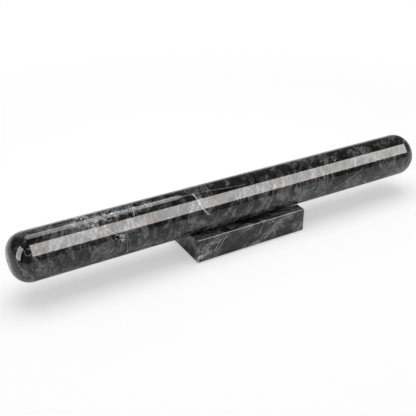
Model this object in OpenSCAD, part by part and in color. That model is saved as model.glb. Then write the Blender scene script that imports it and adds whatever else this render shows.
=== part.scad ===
// Marble rolling pin on a grooved marble stand.
// The pin is one ground and polished bar with rounded ends. It has no handles and no axle.
// It lies loose in a shallow groove that runs the length of the stand, and lifts straight out.
// X runs along the pin, Y across it and Z up. The origin is under the middle of the pin,
// on the surface that the pads stand on.

/* [Pin] */
// Overall length of the pin, from tip to tip
pin_l = 460; // [300:5:600]
// Diameter of the pin
pin_d = 46; // [38:1:60]
// Radius of the round shoulder where the barrel turns into the end
shoulder_r = 17; // [6:0.5:18]
// Radius of the slight dome in the middle of each end
dome_r = 69; // [40:1:200]

/* [Stand] */
// Length of the stand along the pin
stand_l = 127; // [80:1:200]
// Depth of the stand across the pin
stand_w = 53; // [46:1:90]
// Height of the stone block, without its pads
stand_h = 25; // [15:0.5:50]
// How far the stand lies to the right of the middle of the pin
stand_shift = 5.5; // [-60:0.5:60]
// Radius that eases the four edges round the top of the stand
top_ease = 1.3; // [0.5:0.1:3]
// Radius that eases the four upright corners of the stand
corner_ease = 1.2; // [0.5:0.1:4]
// Radius that eases the four edges round the underside of the stand
base_ease = 0.8; // [0.4:0.1:3]

/* [Groove] */
// Depth of the groove below the top of the stand
groove_depth = 5; // [3:0.5:9]
// Gap between the pin and the groove
groove_gap = 0.3; // [0.2:0.05:1]
// Radius that eases the two long lips of the groove
lip_ease = 1; // [0.4:0.1:2]
// Width of the chamfer round each open end of the groove
mouth_ease = 0.6; // [0.3:0.1:1.5]

/* [Pads] */
// Diameter of a pad under the stand
pad_d = 10; // [6:0.5:16]
// Thickness of a pad
pad_t = 1; // [0.5:0.1:3]
// Distance from the edges of the stand to the middle of a pad
pad_inset = 10; // [8.5:0.5:13]
// Radius that rounds the lower edge of a pad
pad_ease = 0.3; // [0.1:0.05:0.45]

/* [Hidden] */
$fn = 128;

stone = "#2e2e30";
rubber = "#1b1b1b";

pin_r = pin_d / 2;
groove_r = pin_r + groove_gap;
stand_top = pad_t + stand_h;
axis_z = stand_top - groove_depth + groove_r;

// The shoulder's arc touches the dome's arc inside it, so both centres and that point are in line
shoulder_off = pin_r - shoulder_r;
dome_to_shoulder = sqrt(pow(dome_r - shoulder_r, 2) - pow(shoulder_off, 2));
end_l = dome_r - dome_to_shoulder;
dome_half_angle = asin(shoulder_off / (dome_r - shoulder_r));

// Centre of a lip's arc, level with the top of the stand less its radius, and clear of the groove
axis_over_top = groove_r - groove_depth;
lip_y = sqrt(pow(groove_r + lip_ease, 2) - pow(axis_over_top + lip_ease, 2));

// Half of the pin's outline, with its radius along X and its length along Y
module pin_outline() {
    barrel_l = pin_l - 2 * end_l;
    intersection() {
        union() {
            translate([0, -barrel_l / 2])
                square([pin_r, barrel_l]);
            for (end = [0, 1])
                mirror([0, end])
                    translate([0, barrel_l / 2])
                        end_outline();
        }
        translate([0, -pin_l])
            square([pin_r, 2 * pin_l]);
    }
}

// One rounded end, from inside the barrel to the tip at Y = end_l
module end_outline() {
    reach = 2 * end_l;
    slope = tan(dome_half_angle);
    translate([shoulder_off, 0])
        circle(r = shoulder_r);
    intersection() {
        translate([0, -dome_to_shoulder])
            circle(r = dome_r);
        polygon([
            [0, -shoulder_r],
            [shoulder_off, -shoulder_r],
            [shoulder_off, 0],
            [shoulder_off + reach * slope, reach],
            [0, reach]
        ]);
    }
}

// Rectangle standing on Y = 0, with its four corners rounded
module eased_outline(width, height, upper_r, lower_r) {
    translate([-width / 2, lower_r])
        square([width, height - upper_r - lower_r]);
    translate([-width / 2 + upper_r, lower_r])
        square([width - 2 * upper_r, height - lower_r]);
    translate([-width / 2 + lower_r, 0])
        square([width - 2 * lower_r, height - upper_r]);
    for (side = [-1, 1]) {
        translate([side * (width / 2 - upper_r), height - upper_r])
            circle(r = upper_r);
        translate([side * (width / 2 - lower_r), lower_r])
            circle(r = lower_r);
    }
}

// The groove across the top of the stand's end view, with its lips rounded over
module groove_outline() {
    axis_h = stand_h + axis_over_top;
    translate([0, axis_h])
        circle(r = groove_r);
    for (side = [-1, 1])
        difference() {
            polygon([
                [0, axis_h],
                [side * lip_y, stand_h - lip_ease],
                [side * lip_y, axis_h]
            ]);
            translate([side * lip_y, stand_h - lip_ease])
                circle(r = lip_ease);
        }
}

// The block before its groove's ends are chamfered: three outlines meet, and ease all its edges
module stand_block() {
    intersection() {
        rotate([90, 0, 90])
            linear_extrude(height = stand_l, center = true)
                difference() {
                    eased_outline(stand_w, stand_h, top_ease, base_ease);
                    groove_outline();
                }
        rotate([90, 0, 0])
            linear_extrude(height = stand_w, center = true)
                eased_outline(stand_l, stand_h, top_ease, base_ease);
        translate([0, -stand_w / 2, 0])
            linear_extrude(height = stand_h)
                eased_outline(stand_l, stand_w, corner_ease, corner_ease);
    }
}

// A cone that opens outwards through one end of the groove
module groove_mouth() {
    translate([0, 0, -mouth_ease])
        cylinder(h = 2 * mouth_ease, r1 = groove_r, r2 = groove_r + 2 * mouth_ease);
}

// Pad under the stand, at the corner given by the signs of its X and Y
module pad(side_x, side_y) {
    pad_x = stand_shift + side_x * (stand_l / 2 - pad_inset);
    pad_y = side_y * (stand_w / 2 - pad_inset);
    color(rubber)
        translate([pad_x, pad_y, 0])
            rotate_extrude()
                intersection() {
                    eased_outline(pad_d, pad_t, pad_ease / 2, pad_ease);
                    square([pad_d / 2, pad_t]);
                }
}

module rolling_pin() {
    color(stone)
        translate([0, 0, axis_z])
            rotate([0, 90, 0])
                rotate_extrude()
                    pin_outline();
}

module stand() {
    color(stone)
        translate([stand_shift, 0, pad_t])
            difference() {
                stand_block();
                for (end = [-1, 1])
                    translate([end * stand_l / 2, 0, stand_h + axis_over_top])
                        rotate([0, end * 90, 0])
                            groove_mouth();
            }
}

module pad_front_left() {
    pad(-1, -1);
}

module pad_front_right() {
    pad(1, -1);
}

module pad_back_left() {
    pad(-1, 1);
}

module pad_back_right() {
    pad(1, 1);
}

rolling_pin();
stand();
pad_front_left();
pad_front_right();
pad_back_left();
pad_back_right();
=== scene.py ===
"""Marble rolling pin on its grooved marble stand: materials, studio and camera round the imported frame."""
import math
from collections import namedtuple

import bpy
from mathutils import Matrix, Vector

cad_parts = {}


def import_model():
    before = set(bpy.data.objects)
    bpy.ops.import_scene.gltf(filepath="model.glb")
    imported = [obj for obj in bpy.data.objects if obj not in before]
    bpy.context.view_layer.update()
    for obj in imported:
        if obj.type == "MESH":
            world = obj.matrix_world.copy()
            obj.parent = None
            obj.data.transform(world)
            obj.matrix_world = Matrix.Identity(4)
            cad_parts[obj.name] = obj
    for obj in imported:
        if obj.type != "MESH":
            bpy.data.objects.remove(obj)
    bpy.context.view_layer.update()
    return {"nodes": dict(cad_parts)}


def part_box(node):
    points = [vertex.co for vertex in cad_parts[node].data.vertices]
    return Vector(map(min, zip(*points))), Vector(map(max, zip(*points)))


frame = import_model()

# The photograph's camera, found from the outline of the pin and the corners of the stand
FOCAL_PX = 681.1
IMAGE_PX = 416
SENSOR_MM = 36.0
CAMERA_PITCH = math.radians(28.98)
CAMERA_YAW = math.radians(30.0)
CAMERA_DISTANCE = 0.6728
CAMERA_TARGET = (-0.0313, 0.0, 0.0422)

PIN_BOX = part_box("rolling_pin")
STAND_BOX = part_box("stand")
PIN_RADIUS = (PIN_BOX[1][2] - PIN_BOX[0][2]) / 2
PIN_AXIS_Z = (PIN_BOX[1][2] + PIN_BOX[0][2]) / 2
STAND_FRONT = STAND_BOX[0][1]

# Stone colours and polish
STONE_BLACK = (0.004, 0.004, 0.0045)
PIN_GREY = (0.125, 0.125, 0.127)
STAND_GREY = (0.170, 0.170, 0.172)
VEIN_WHITE = (0.65, 0.65, 0.65)
WORN_GREY = (0.42, 0.42, 0.42)
STONE_IOR = 1.46

# The stone's pattern: how far noise bends it, how long its strokes are, and how its layers are mixed
BROAD_BEND = 0.030
CRISP_BEND = 0.005
LIGHT_BROAD_BEND = 0.003
LIGHT_FINE_BEND = 0.0022
STROKE_STRETCH = (2.6, 0.75, 1.0)
CLOUD_SHARE = 0.45
BLACK_LINE_STRENGTH = 0.85
SCATTERED_VEIN_STRENGTH = 0.40
RING_STRENGTH = 0.20
RING_SHADE = 0.6

# A ring's white fades from full to none between these distances off its circle
RING_CORE = 0.0001
RING_HALF_WIDTH = 0.0007

# The share of a vein's half width, and of a spot's reach, that is at full strength
LINE_CORE = 0.2
SPOT_CORE = 0.3

# A placed vein fades in between these heights over its core, so it doesn't come out on the far side
VEIN_BOTTOM = 0.008
VEIN_FULL = 0.013

# Handling and polish
EDGE_REACH = 0.0012
WEAR_TINT = 0.30
WEAR_ROUGHNESS = 0.15
STONE_BUMP = 0.06
STONE_BUMP_HEIGHT = 0.0002

# The pads
RUBBER_BLACK = (0.010, 0.010, 0.010)
RUBBER_GREY = (0.030, 0.030, 0.029)
RUBBER_BUMP = 0.3
RUBBER_BUMP_HEIGHT = 0.0001

# The white table: between these distances from the middle, its paint gives way to plain white
FLOOR_HALF = 4.0
FLOOR_WHITE = (0.97, 0.97, 0.97)
FLOOR_NEAR = 0.30
FLOOR_FAR = 0.75
NEAR_PLAIN_SHARE = 0.45

# The studio
SOFT_LIGHT = (0.50, 0.50, 0.50)
DIM_STUDIO = (0.10, 0.10, 0.10)
WHITE = (1.0, 1.0, 1.0)
WARM_WHITE = (1.0, 0.965, 0.935)

# Two boxes stand beside the pin's axis: where along it, and degrees round it
BOX_DISTANCE = 1.0
FRONT_BOX_X = 0.65
FRONT_BOX_ANGLE = 50.0
BACK_STRIP_X = 0.155
BACK_STRIP_ANGLE = 119.0

# The others stand free: one shines on the pin's left end, and one is overhead
END_BOX_PLACE = (-1.1, -0.22, 0.62)
END_BOX_AIM = (PIN_BOX[0][0] + 0.01, 0.0, PIN_AXIS_Z)
TOP_BOX_PLACE = (0.0, 0.1, 1.3)
TOP_BOX_AIM = (0.0, 0.1, 0.0)

# One point of the stone, plain and bent by noise
Places = namedtuple("Places", "plain warped crisp bent")

# What sets one marble apart. A crackle is a centre, reach and strength, and a ring a centre and radius
Stone = namedtuple("Stone", "seed stroke_turn mark_scale grey veins crackles rings")

# A vein's core is the point inside the stone that it comes out from
Vein = namedtuple("Vein", "start end core half_width strength")


class Nodes:
    """Short calls for the nodes of one tree."""

    def __init__(self, tree):
        self.tree = tree
        tree.nodes.clear()

    def add(self, kind, **settings):
        node = self.tree.nodes.new(kind)
        for key, value in settings.items():
            setattr(node, key, value)
        return node

    def put(self, value, socket):
        """Links an output to a socket, or sets the socket's own number."""
        if isinstance(value, bpy.types.NodeSocket):
            self.tree.links.new(value, socket)
        else:
            socket.default_value = value

    def math(self, operation, a, b=0.0, c=0.0, clamp=False):
        node = self.add("ShaderNodeMath", operation=operation, use_clamp=clamp)
        for i, value in enumerate((a, b, c)):
            self.put(value, node.inputs[i])
        return node.outputs[0]

    def times(self, a, b):
        return self.math("MULTIPLY", a, b)

    def plus(self, a, b):
        return self.math("ADD", a, b)

    def most(self, a, b):
        return self.math("MAXIMUM", a, b)

    def one_less(self, a):
        return self.math("SUBTRACT", 1.0, a)

    def span(self, value, low, high):
        """Takes 0 to 1 over to low to high."""
        return self.math("MULTIPLY_ADD", value, high - low, low)

    def vector(self, operation, a, b=(0, 0, 0), scale=1.0):
        node = self.add("ShaderNodeVectorMath", operation=operation)
        self.put(a, node.inputs[0])
        self.put(b, node.inputs[1])
        node.inputs[3].default_value = scale
        return node.outputs[1 if operation in ("DOT_PRODUCT", "LENGTH") else 0]

    def shifted(self, at, push, amount):
        return self.vector("ADD", at, self.vector("SCALE", push, scale=amount))

    def distance(self, at, centre):
        return self.vector("LENGTH", self.vector("SUBTRACT", at, centre))

    def mapped(self, at, kind, scale, rotation=(0.0, 0.0, 0.0)):
        node = self.add("ShaderNodeMapping", vector_type=kind)
        self.put(at, node.inputs["Vector"])
        node.inputs["Rotation"].default_value = rotation
        node.inputs["Scale"].default_value = scale
        return node.outputs["Vector"]

    def step(self, value, low, high):
        """0 below low and 1 above high, smooth between them; low may be the larger."""
        node = self.add("ShaderNodeMapRange", interpolation_type="SMOOTHSTEP", clamp=True)
        self.put(value, node.inputs["Value"])
        node.inputs["From Min"].default_value = low
        node.inputs["From Max"].default_value = high
        return node.outputs["Result"]

    def noise(self, at, scale, detail=4.0, rough=0.55, distortion=0.0, seed=0.0, colour=False):
        node = self.add("ShaderNodeTexNoise", noise_dimensions="4D")
        self.put(at, node.inputs["Vector"])
        node.inputs["W"].default_value = seed
        node.inputs["Scale"].default_value = scale
        node.inputs["Detail"].default_value = detail
        node.inputs["Roughness"].default_value = rough
        node.inputs["Distortion"].default_value = distortion
        return node.outputs["Color" if colour else "Fac"]

    def ridge(self, field, width):
        """A thin line where a noise field crosses one half."""
        off = self.math("ABSOLUTE", self.math("SUBTRACT", field, 0.5))
        return self.step(off, width, 0.0)

    def mix(self, fac, a, b):
        node = self.add("ShaderNodeMix", data_type="RGBA")
        self.put(fac, node.inputs["Factor"])
        for name, value in (("A", a), ("B", b)):
            socket = [s for s in node.inputs if s.name == name and s.type == "RGBA"][0]
            self.put(value if isinstance(value, bpy.types.NodeSocket) else (*value, 1.0), socket)
        return [s for s in node.outputs if s.type == "RGBA"][0]

    def bump(self, height, strength, distance):
        node = self.add("ShaderNodeBump")
        node.inputs["Strength"].default_value = strength
        node.inputs["Distance"].default_value = distance
        self.put(height, node.inputs["Height"])
        return node.outputs["Normal"]

    def rays(self):
        """1 for rays from the camera, and 1 for glossy and transmission rays."""
        path = self.add("ShaderNodeLightPath")
        shiny = self.most(path.outputs["Is Glossy Ray"], path.outputs["Is Transmission Ray"])
        return path.outputs["Is Camera Ray"], shiny

    def principled(self, colour, rough, normal):
        shader = self.add("ShaderNodeBsdfPrincipled")
        self.put(colour, shader.inputs["Base Color"])
        self.put(rough, shader.inputs["Roughness"])
        self.put(normal, shader.inputs["Normal"])
        self.surface(shader)
        return shader

    def surface(self, shader, output="ShaderNodeOutputMaterial"):
        self.put(shader.outputs[0], self.add(output).inputs["Surface"])


def new_material(name):
    material = bpy.data.materials.new(name)
    material.use_nodes = True
    return material, Nodes(material.node_tree)


def round_pin(x, angle, distance):
    """A point beside the pin's axis: 0 degrees is straight in front, and 90 is overhead."""
    turn = math.radians(angle)
    return x, -math.cos(turn) * distance, PIN_AXIS_Z + math.sin(turn) * distance


def on_pin(x, angle):
    return Vector(round_pin(x, angle, PIN_RADIUS))


def on_front(x, z):
    return Vector((x, STAND_FRONT, z))


def pin_vein(start, end, half_width, strength):
    """A vein on the pin's side, from one place along it and angle round it to another."""
    core = Vector(((start[0] + end[0]) / 2, 0.0, PIN_AXIS_Z))
    return Vein(on_pin(*start), on_pin(*end), core, half_width, strength)


def front_vein(start, end, half_width, strength):
    """A vein on the stand's front face, from one place along it and height to another."""
    core = Vector(((start[0] + end[0]) / 2, 0.0, (start[1] + end[1]) / 2))
    return Vein(on_front(*start), on_front(*end), core, half_width, strength)


def places(n, seed):
    """The place in the stone, and the same place bent by noise in three ways."""
    plain = n.add("ShaderNodeTexCoord").outputs["Object"]
    middle = (0.5, 0.5, 0.5)
    broad = n.noise(plain, 26.0, detail=3.0, seed=seed, colour=True)
    broad = n.vector("SUBTRACT", broad, middle)
    fine = n.noise(plain, 150.0, detail=3.0, seed=seed + 1, colour=True)
    fine = n.vector("SUBTRACT", fine, middle)
    warped = n.shifted(plain, broad, BROAD_BEND)
    crisp = n.shifted(warped, fine, CRISP_BEND)
    bent = n.shifted(n.shifted(plain, broad, LIGHT_BROAD_BEND), fine, LIGHT_FINE_BEND)
    return Places(plain, warped, crisp, bent)


def near(n, place, centre, reach):
    """1 at a centre, and 0 beyond its reach."""
    return n.step(n.distance(place, centre), reach, reach * SPOT_CORE)


def greys(n, at, stone, grain):
    """How grey the stone is, from clouds and strokes cut by black lines, and the two masks behind it."""
    turned = n.mapped(at.crisp, "TEXTURE", STROKE_STRETCH, stone.stroke_turn)
    clouds = n.noise(at.warped, 34.0, detail=6.0, rough=0.55, seed=stone.seed + 2)
    strokes = n.noise(turned, 95.0, detail=6.0, rough=0.62, distortion=0.5, seed=stone.seed + 3)
    fine = n.noise(turned, 260.0, detail=5.0, rough=0.62, distortion=0.4, seed=stone.seed + 4)

    # The masks: broad grey parts, and fine strokes inside and outside them
    body = n.plus(n.times(clouds, CLOUD_SHARE), n.times(strokes, 1.0 - CLOUD_SHARE))
    body = n.step(body, 0.45, 0.57)
    fine = n.step(fine, 0.42, 0.58)

    tone = n.times(body, n.span(fine, 0.35, 1.0))
    tone = n.plus(tone, n.times(fine, 0.10))
    tone = n.times(tone, n.span(n.step(grain, 0.30, 0.70), 0.6, 1.4))
    tone = n.times(tone, n.one_less(n.times(n.ridge(strokes, 0.028), BLACK_LINE_STRENGTH)))
    for centre, radius in stone.rings:
        shade = n.times(near(n, at.bent, centre, radius * 1.5), RING_SHADE)
        tone = n.times(tone, n.one_less(shade))
    return tone, body, fine


def scattered_veins(n, at, seed):
    """Wide and thin white veins, each kind only in some parts of the stone."""
    wide = n.ridge(n.noise(at.crisp, 19.0, detail=3.0, rough=0.5, distortion=0.3, seed=seed + 6), 0.0035)
    thin = n.ridge(n.noise(at.crisp, 52.0, detail=4.0, rough=0.5, distortion=0.4, seed=seed + 7), 0.0075)
    wide_parts = n.step(n.noise(at.plain, 22.0, detail=2.0, seed=seed + 8), 0.52, 0.68)
    thin_parts = n.step(n.noise(at.plain, 33.0, detail=2.0, seed=seed + 9), 0.52, 0.68)
    wide = n.times(wide, n.times(wide_parts, SCATTERED_VEIN_STRENGTH))
    thin = n.times(thin, n.times(thin_parts, SCATTERED_VEIN_STRENGTH))
    return n.plus(wide, thin)


def placed_vein(n, at, vein):
    """A vein that runs over the surface from start to end, as a thin sheet that goes down into the stone."""
    along = vein.end - vein.start
    outward = ((vein.start + vein.end) / 2 - vein.core).normalized()
    sideways = along.cross(outward).normalized()
    from_start = n.vector("SUBTRACT", at.bent, vein.start)
    off = n.math("ABSOLUTE", n.vector("DOT_PRODUCT", from_start, sideways))
    line = n.step(off, vein.half_width, vein.half_width * LINE_CORE)

    # The share of its length, with a fade at both ends
    share = n.vector("DOT_PRODUCT", from_start, along / along.length_squared)
    line = n.times(line, n.step(share, -0.06, 0.10))
    line = n.times(line, n.step(share, 1.06, 0.90))

    height = n.vector("DOT_PRODUCT", n.vector("SUBTRACT", at.plain, vein.core), outward)
    line = n.times(line, n.step(height, VEIN_BOTTOM, VEIN_FULL))
    return n.times(line, vein.strength)


def shards(n, at, seed):
    """Broken white lines and flecks, everywhere: the crackles show them only near their centres."""
    cells = n.add("ShaderNodeTexVoronoi", feature="DISTANCE_TO_EDGE")
    n.put(at.crisp, cells.inputs["Vector"])
    cells.inputs["Scale"].default_value = 190.0
    lines = n.step(cells.outputs["Distance"], 0.10, 0.03)
    lines = n.times(lines, n.step(n.noise(at.crisp, 180.0, detail=3.0, seed=seed + 12), 0.48, 0.56))
    flecks = n.step(n.noise(at.crisp, 330.0, detail=4.0, rough=0.6, seed=seed + 13), 0.54, 0.61)
    return n.most(lines, flecks)


def whites(n, at, stone, grain):
    """All that is white in the stone, broken up by the grain."""
    white = scattered_veins(n, at, stone.seed)
    for vein in stone.veins:
        white = n.most(white, placed_vein(n, at, vein))
    for centre, radius in stone.rings:
        off = n.math("ABSOLUTE", n.math("SUBTRACT", n.distance(at.bent, centre), radius))
        white = n.most(white, n.times(n.step(off, RING_HALF_WIDTH, RING_CORE), RING_STRENGTH))
    pieces = shards(n, at, stone.seed)
    for centre, reach, strength in stone.crackles:
        spot = n.times(near(n, at.plain, centre, reach), strength)
        white = n.most(white, n.times(pieces, spot))
    broken = n.span(n.step(grain, 0.35, 0.60), 0.3, 1.0)
    return n.math("MULTIPLY", white, broken, clamp=True)


def edge_wear(n, grain):
    """1 along the eased edges, where handling has dulled the polish, broken up by the grain."""
    soft = n.add("ShaderNodeBevel", samples=4)
    soft.inputs["Radius"].default_value = EDGE_REACH
    true = n.add("ShaderNodeNewGeometry").outputs["Normal"]

    # The cosine between the true normal and one that is smoothed over the edge
    turn = n.vector("DOT_PRODUCT", soft.outputs["Normal"], true)
    return n.times(n.step(turn, 0.995, 0.93), n.step(grain, 0.35, 0.65))


def polish(n, at, stone, white, worn, grain):
    """Roughness and normal: fine polishing marks and pits, and a duller surface on veins and worn edges."""
    marks = n.mapped(at.plain, "POINT", stone.mark_scale)
    marks = n.noise(marks, 1600.0, detail=2.0, seed=stone.seed + 14)
    rough = n.span(n.noise(at.crisp, 60.0, detail=4.0, seed=stone.seed + 10), 0.010, 0.060)
    rough = n.plus(rough, n.times(white, 0.06))
    rough = n.plus(rough, n.times(worn, WEAR_ROUGHNESS))
    rough = n.plus(rough, n.times(marks, 0.02))
    pits = n.step(n.noise(at.plain, 900.0, detail=2.0, seed=stone.seed + 11), 0.70, 0.80)
    height = n.math("SUBTRACT", n.times(grain, 0.15), n.times(pits, 0.5))
    height = n.plus(height, n.times(marks, 0.08))
    return rough, n.bump(height, STONE_BUMP, STONE_BUMP_HEIGHT)


def marble(name, stone):
    """Polished black marble with grey clouds, dark strokes and fine white veins."""
    material, n = new_material(name)
    at = places(n, stone.seed)
    grain = n.noise(at.crisp, 650.0, detail=3.0, rough=0.6, seed=stone.seed + 5)
    tone, body, fine = greys(n, at, stone, grain)
    white = whites(n, at, stone, grain)
    worn = edge_wear(n, grain)
    colour = n.mix(tone, STONE_BLACK, stone.grey)
    colour = n.mix(white, colour, VEIN_WHITE)
    colour = n.mix(n.times(worn, WEAR_TINT), colour, WORN_GREY)
    rough, normal = polish(n, at, stone, white, worn, grain)
    shader = n.principled(colour, rough, normal)
    shader.inputs["IOR"].default_value = STONE_IOR
    shine = n.plus(n.times(body, 0.08), n.span(fine, 0.40, 0.50))
    n.put(shine, shader.inputs["Specular IOR Level"])
    return material


def rubber(name):
    """Dull black rubber with a faint grain."""
    material, n = new_material(name)
    place = n.add("ShaderNodeTexCoord").outputs["Object"]
    grain = n.noise(place, 2600.0)
    colour = n.mix(grain, RUBBER_BLACK, RUBBER_GREY)
    n.principled(colour, n.span(grain, 0.55, 0.80), n.bump(grain, RUBBER_BUMP, RUBBER_BUMP_HEIGHT))
    return material


def dress(node, material):
    mesh = frame["nodes"][node].data
    mesh.materials.clear()
    mesh.materials.append(material)


def pin_stone():
    """The pin's stone. Its main veins were traced: places along the pin, and degrees round it."""
    return Stone(
        seed=3.0,
        stroke_turn=(0.0, -0.79, 1.04),
        mark_scale=(1.0, 0.03, 0.03),
        grey=PIN_GREY,
        veins=[
            pin_vein((-0.0520, 74.9), (-0.0495, 33.8), 0.0010, 1.0),
            pin_vein((-0.0495, 33.8), (-0.0430, 10.5), 0.0008, 1.0),
            pin_vein((-0.1050, 79.9), (-0.0440, 71.5), 0.0004, 0.55),
            pin_vein((-0.0440, 71.5), (0.0080, 61.4), 0.0003, 0.45),
            pin_vein((-0.1130, 81.2), (-0.1155, 55.6), 0.0006, 0.7),
            pin_vein((-0.1010, 85.3), (-0.0990, 69.8), 0.0007, 0.6),
            pin_vein((-0.1452, 45.5), (-0.1290, 6.8), 0.0006, 0.6),
            pin_vein((-0.1290, 6.8), (-0.1275, -38.5), 0.0004, 0.4),
            pin_vein((-0.1250, -29.5), (-0.0930, -17.2), 0.0004, 0.4),
            pin_vein((0.1501, 19.5), (0.1108, -18.7), 0.0004, 0.5),
        ],
        crackles=[
            (on_pin(-0.1600, 96.5), 0.010, 1.0),
            (on_pin(-0.1500, 69.8), 0.016, 0.8),
            (on_pin(-0.1700, 75.1), 0.014, 0.5),
            (on_pin(-0.1347, 80.5), 0.012, 0.9),
            (on_pin(-0.1140, 77.5), 0.012, 0.7),
            (on_pin(-0.1330, 17.1), 0.008, 0.9),
            (on_pin(0.0341, 40.6), 0.006, 0.9),
            (on_pin(-0.0500, 48.1), 0.008, 0.6),
            (on_pin(0.1172, 65.9), 0.006, 0.6),
        ],
        rings=[
            (on_pin(0.1172, 65.9), 0.0024),
            (on_pin(-0.2155, 40.4), 0.0030),
        ],
    )


def stand_stone():
    """The stand's stone. The veins traced on its front face have places along it and heights."""
    return Stone(
        seed=11.0,
        stroke_turn=(0.0, -0.6, 0.0),
        mark_scale=(0.03, 1.0, 1.0),
        grey=STAND_GREY,
        veins=[
            front_vein((-0.0400, 0.0080), (-0.0290, 0.0240), 0.0006, 0.55),
            front_vein((-0.0360, 0.0070), (-0.0240, 0.0240), 0.0005, 0.50),
            front_vein((-0.0540, 0.0050), (-0.0440, 0.0110), 0.0009, 0.55),
            front_vein((-0.0520, 0.0160), (-0.0400, 0.0210), 0.0010, 0.35),
        ],
        crackles=[
            (on_front(-0.0550, 0.0060), 0.009, 0.9),
            (on_front(-0.0400, 0.0150), 0.016, 0.35),
        ],
        rings=[],
    )


def floor():
    """White table: it keeps the shadow near the object and is plain white far from it."""
    corners = [(x * FLOOR_HALF, y * FLOOR_HALF, 0) for x, y in ((-1, -1), (1, -1), (1, 1), (-1, 1))]
    mesh = bpy.data.meshes.new("floor")
    mesh.from_pydata(corners, [], [(0, 1, 2, 3)])
    table = bpy.data.objects.new("floor", mesh)
    bpy.context.scene.collection.objects.link(table)
    material, n = new_material("floor_white")
    place = n.add("ShaderNodeTexCoord").outputs["Object"]
    far = n.step(n.vector("LENGTH", place), FLOOR_NEAR, FLOOR_FAR)
    from_camera, shiny = n.rays()
    plain_white = n.most(n.times(from_camera, n.span(far, NEAR_PLAIN_SHARE, 1.0)), n.times(shiny, far))
    paint = n.add("ShaderNodeBsdfDiffuse")
    paint.inputs["Color"].default_value = (*FLOOR_WHITE, 1.0)
    glow = n.add("ShaderNodeEmission")
    glow.inputs["Color"].default_value = (*WHITE, 1.0)
    blend = n.add("ShaderNodeMixShader")
    n.put(plain_white, blend.inputs[0])
    n.put(paint.outputs[0], blend.inputs[1])
    n.put(glow.outputs[0], blend.inputs[2])
    n.surface(blend)
    mesh.materials.append(material)


def softbox(name, centre, aim, length, width, radiance, mirrored=True, colour=WHITE):
    """Rectangular lamp that faces its aim. Only its reflection shows if mirrored, else it only lights."""
    light = bpy.data.lights.new(name, "AREA")
    light.shape = "RECTANGLE"
    light.size = length
    light.size_y = width
    light.color = colour
    light.energy = radiance * math.pi * length * width
    lamp = bpy.data.objects.new(name, light)
    bpy.context.scene.collection.objects.link(lamp)
    lamp.location = centre
    facing = Vector(aim) - Vector(centre)
    tilt = math.atan2(math.hypot(facing.x, facing.y), -facing.z)
    lamp.rotation_euler = (tilt, 0.0, math.atan2(-facing.x, facing.y))
    lamp.visible_diffuse = not mirrored
    lamp.visible_glossy = mirrored
    lamp.visible_camera = False


def lights():
    """Three boxes that only show in the polish, and one overhead that lights and casts the shadow."""
    centre = round_pin(FRONT_BOX_X, FRONT_BOX_ANGLE, BOX_DISTANCE)
    aim = (FRONT_BOX_X, 0.0, PIN_AXIS_Z)
    softbox("front_box", centre, aim, length=1.50, width=0.967, radiance=10.5, colour=WARM_WHITE)
    centre = round_pin(BACK_STRIP_X, BACK_STRIP_ANGLE, BOX_DISTANCE)
    aim = (BACK_STRIP_X, 0.0, PIN_AXIS_Z)
    softbox("back_strip", centre, aim, length=0.44, width=0.44, radiance=4.4)
    softbox("end_box", END_BOX_PLACE, END_BOX_AIM, length=0.55, width=1.1, radiance=9.0)
    softbox("top_box", TOP_BOX_PLACE, TOP_BOX_AIM, length=1.2, width=1.0, radiance=3.05, mirrored=False)


def world():
    """White for the camera and low behind in reflections, dim for other reflections, soft for the rest."""
    studio = bpy.data.worlds.new("studio")
    bpy.context.scene.world = studio
    studio.use_nodes = True
    n = Nodes(studio.node_tree)
    parts = n.add("ShaderNodeSeparateXYZ")
    n.put(n.add("ShaderNodeTexCoord").outputs["Generated"], parts.inputs[0])
    low = n.step(parts.outputs["Z"], 0.24, 0.10)
    behind = n.step(parts.outputs["Y"], -0.05, 0.15)
    from_camera, shiny = n.rays()
    shown = n.most(from_camera, n.times(shiny, n.times(low, behind)))
    dim = n.mix(shiny, SOFT_LIGHT, DIM_STUDIO)
    back = n.add("ShaderNodeBackground")
    n.put(n.mix(shown, dim, WHITE), back.inputs["Color"])
    n.surface(back, "ShaderNodeOutputWorld")


def camera():
    """The photograph's camera, turned round its target by the yaw and the pitch."""
    data = bpy.data.cameras.new("camera")
    data.sensor_width = SENSOR_MM
    data.lens = FOCAL_PX / IMAGE_PX * SENSOR_MM
    data.clip_start = 0.01
    eye = bpy.data.objects.new("camera", data)
    bpy.context.scene.collection.objects.link(eye)
    level = math.cos(CAMERA_PITCH) * CAMERA_DISTANCE
    eye.location = (
        CAMERA_TARGET[0] - math.sin(CAMERA_YAW) * level,
        CAMERA_TARGET[1] - math.cos(CAMERA_YAW) * level,
        CAMERA_TARGET[2] + math.sin(CAMERA_PITCH) * CAMERA_DISTANCE,
    )
    eye.rotation_euler = (math.pi / 2 - CAMERA_PITCH, 0.0, -CAMERA_YAW)
    bpy.context.scene.camera = eye


dress("rolling_pin", marble("pin_marble", pin_stone()))
dress("stand", marble("stand_marble", stand_stone()))
pad_rubber = rubber("pad_rubber")
for node in frame["nodes"]:
    if node.startswith("pad_"):
        dress(node, pad_rubber)

camera()
floor()
lights()
world()
bpy.context.scene.view_settings.view_transform = "Standard"
